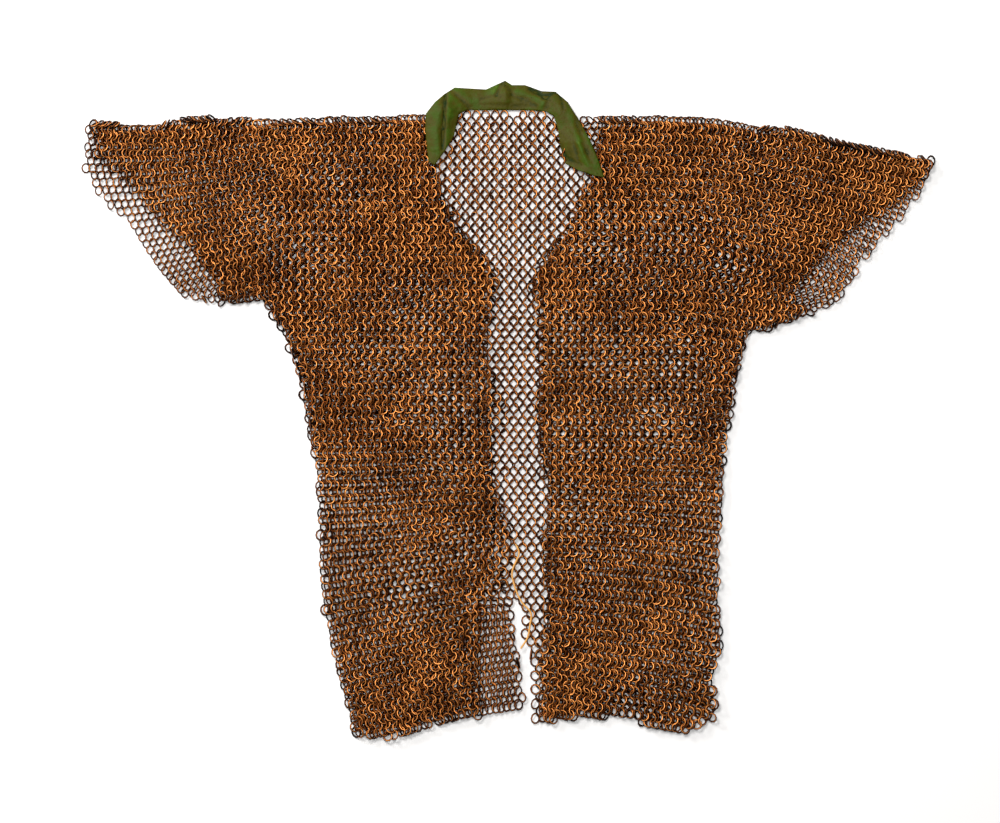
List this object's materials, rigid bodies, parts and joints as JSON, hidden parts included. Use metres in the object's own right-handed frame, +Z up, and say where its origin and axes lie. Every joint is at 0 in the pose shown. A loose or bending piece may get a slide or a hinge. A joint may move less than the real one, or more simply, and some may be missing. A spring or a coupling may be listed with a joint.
{
  "type": "chainmail hauberk laid flat",
  "caption": "Short-sleeved coat of linked iron rings, open down the front, laid flat on its back, with a folded cloth collar and a loose lace.",
  "frame": {"origin": "middle of the underside of the whole garment's box, on the surface that it lies on", "axes": "+X from the left cuff to the right cuff as seen from above, +Y from the hem to the collar, +Z up out of the surface"},
  "size_m": [0.986, 0.758, 0.0169],
  "materials": {
    "mail": "rust-brown iron wire rings, worn to tan on their crests",
    "collar_cloth": "creased olive-green silk, frayed",
    "lace_thread": "two-ply golden thread"
  },
  "bodies": {
    "root": {"back": "mail", "front_left": "mail", "front_right": "mail", "sleeve_left": "mail", "sleeve_right": "mail", "collar": "collar_cloth", "lace": "lace_thread"}
  },
  "joints": []
}
